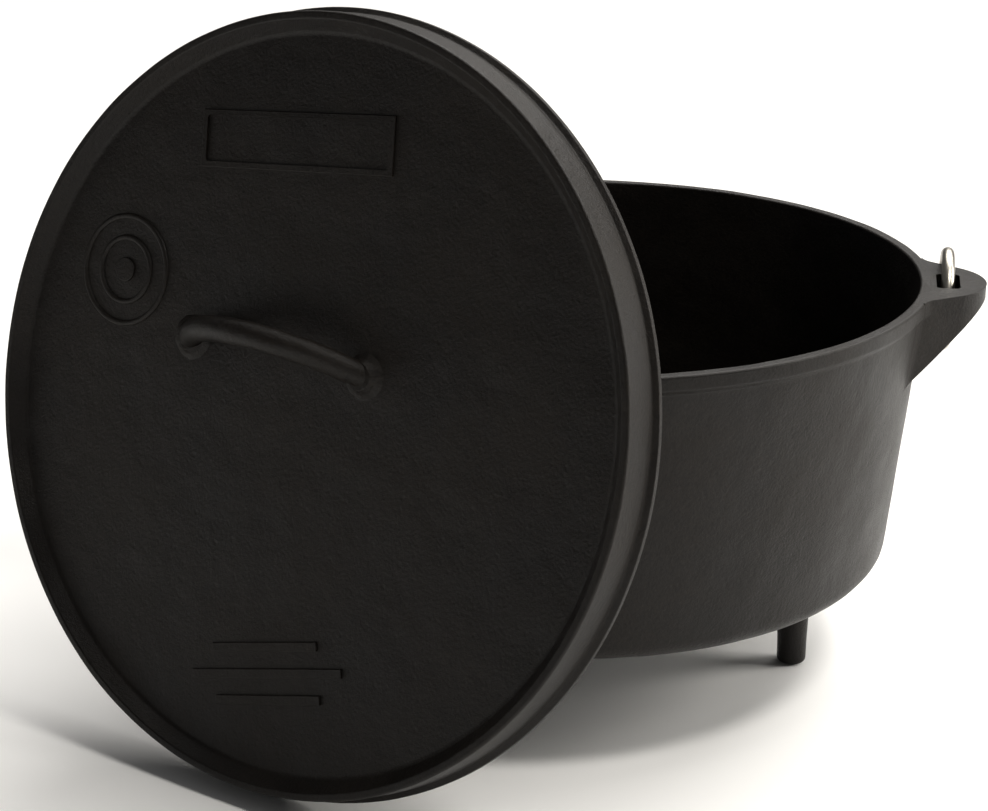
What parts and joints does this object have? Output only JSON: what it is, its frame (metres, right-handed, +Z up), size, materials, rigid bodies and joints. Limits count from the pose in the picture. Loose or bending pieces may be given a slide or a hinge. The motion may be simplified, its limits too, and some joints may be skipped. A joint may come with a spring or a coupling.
{
  "type": "cast iron dutch oven",
  "caption": "Deep three-legged cast iron camp oven with a wire bail in two ears, and a flanged lid with a coal rim and loop handle leaning on the pot.",
  "frame": {"origin": "on the pot's vertical axis, in the plane of its three feet, which is the surface it stands on", "axes": "+Z up along the pot's axis; -Y towards the side from which the leaning lid's top is seen, with the lid on the left; +X to the right"},
  "size_m": [0.4318, 0.3896, 0.3138],
  "materials": {
    "cast_iron": "oil-seasoned, sand-cast grain, satin black-brown",
    "bail_steel": "bright zinc-plated drawn wire"
  },
  "bodies": {
    "pot": {"pot_shell": "cast_iron", "pot_ear_right": "cast_iron", "pot_ear_left": "cast_iron", "pot_leg_front": "cast_iron", "pot_leg_rear": "cast_iron", "pot_leg_left": "cast_iron"},
    "lid": {"lid_disc": "cast_iron", "lid_coal_rim": "cast_iron", "lid_handle": "cast_iron", "lid_panel_border": "cast_iron", "lid_roundel": "cast_iron", "lid_lower_bars": "cast_iron"},
    "bail": {"bail_wire": "bail_steel"}
  },
  "joints": [
    {"name": "bail_swing", "type": "hinge", "parent": "pot", "child": "bail", "pos_m": [0.00303, 0.01915, 0.16806], "axis": [0.9877, -0.1564, 0], "range_deg": [0, 180]},
    {"name": "lid_lift", "type": "slide", "parent": "pot", "child": "lid", "axis": [0, 0, 1], "range_m": [0, 0.35]}
  ]
}
